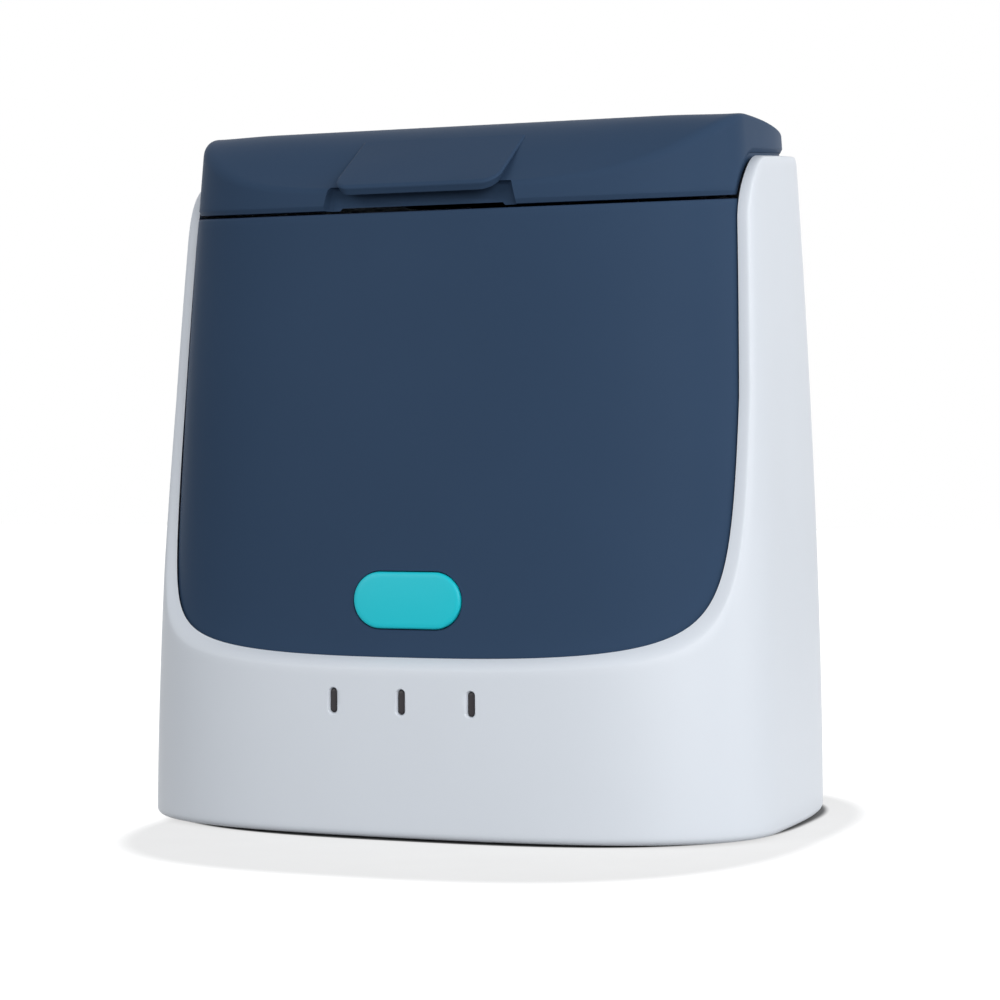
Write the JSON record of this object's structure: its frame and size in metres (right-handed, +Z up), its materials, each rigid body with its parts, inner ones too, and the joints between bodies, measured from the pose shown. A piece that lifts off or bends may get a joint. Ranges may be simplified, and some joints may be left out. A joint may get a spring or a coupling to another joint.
{
  "type": "point-of-care pcr device",
  "caption": "Small bench analyser with a hinged lid over a cartridge well, a start button, status windows, a heater with its cooling fan, and a fluorescence reader inside a moulded shell.",
  "frame": {"origin": "on the table under the middle of the footprint, between the rubber feet", "axes": "+X to the right of a user who faces the start button, +Y from the user to the hinge side, +Z up"},
  "size_m": [0.112, 0.095, 0.12],
  "materials": {
    "shell_white": "satin white",
    "navy_soft_touch": "matt dark blue",
    "button_teal": "satin teal",
    "inner_plastic": "matt dark grey",
    "rubber": "matt black",
    "screw_steel": "bright",
    "aluminium": "machined",
    "circuit_board": "green solder mask",
    "ceramic": "white ceramic",
    "insulation": "grey foam",
    "black_plastic": "matt black",
    "window": "smoked window",
    "glass": "clear",
    "filter_glass": "amber"
  },
  "bodies": {
    "housing": {"outer_shell": "shell_white", "front_panel": "navy_soft_touch", "base_plate": "inner_plastic", "foot_front_left": "rubber", "foot_front_right": "rubber", "foot_rear_left": "rubber", "foot_rear_right": "rubber", "base_screw_front_left": "screw_steel", "base_screw_front_right": "screw_steel", "base_screw_rear_left": "screw_steel", "base_screw_rear_right": "screw_steel", "top_deck": "inner_plastic", "deck_screw_front_left": "screw_steel", "deck_screw_front_right": "screw_steel", "deck_screw_rear_left": "screw_steel", "deck_screw_rear_right": "screw_steel", "hinge_pin_left": "screw_steel", "hinge_pin_right": "screw_steel", "deck_magnet": "screw_steel", "cartridge_guide": "black_plastic", "heater_block": "aluminium", "temperature_sensor": "screw_steel", "peltier_module": "ceramic", "insulation_frame": "insulation", "heat_sink": "aluminium", "fan_frame": "black_plastic", "optics_block": "black_plastic", "optics_board": "circuit_board", "excitation_led": "glass", "objective_lens": "glass", "light_sensor": "black_plastic", "emission_filter": "filter_glass", "main_board": "circuit_board", "board_screw_front_left": "screw_steel", "board_screw_front_right": "screw_steel", "board_screw_rear_left": "screw_steel", "board_screw_rear_right": "screw_steel", "power_inlet": "black_plastic", "front_board": "circuit_board", "front_board_screw_left": "screw_steel", "front_board_screw_right": "screw_steel", "light_pipe_left": "window", "indicator_led_left": "ceramic", "light_pipe_middle": "window", "indicator_led_middle": "ceramic", "light_pipe_right": "window", "indicator_led_right": "ceramic", "button_switch": "black_plastic"},
    "lid": {"lid_cover": "navy_soft_touch", "lid_liner": "inner_plastic", "lid_press_plate": "aluminium", "lid_press_pad": "rubber", "lid_magnet": "screw_steel", "lid_screw_left": "screw_steel", "lid_screw_right": "screw_steel"},
    "button": {"start_button": "button_teal"},
    "fan": {"fan_rotor": "black_plastic"}
  },
  "joints": [
    {"name": "lid_hinge", "type": "hinge", "parent": "housing", "child": "lid", "pos_m": [0, 0.036, 0.1179], "axis": [-1, 0, 0], "range_deg": [0, 105]},
    {"name": "start_button_press", "type": "slide", "parent": "housing", "child": "button", "axis": [0, 1, 0], "range_m": [0, 0.001], "stiffness_N_per_m": 900, "springref_m": -0.0008},
    {"name": "fan_spin", "type": "hinge", "parent": "housing", "child": "fan", "pos_m": [0, 0.03656, 0.0644], "axis": [0, 1, 0], "continuous": true}
  ]
}
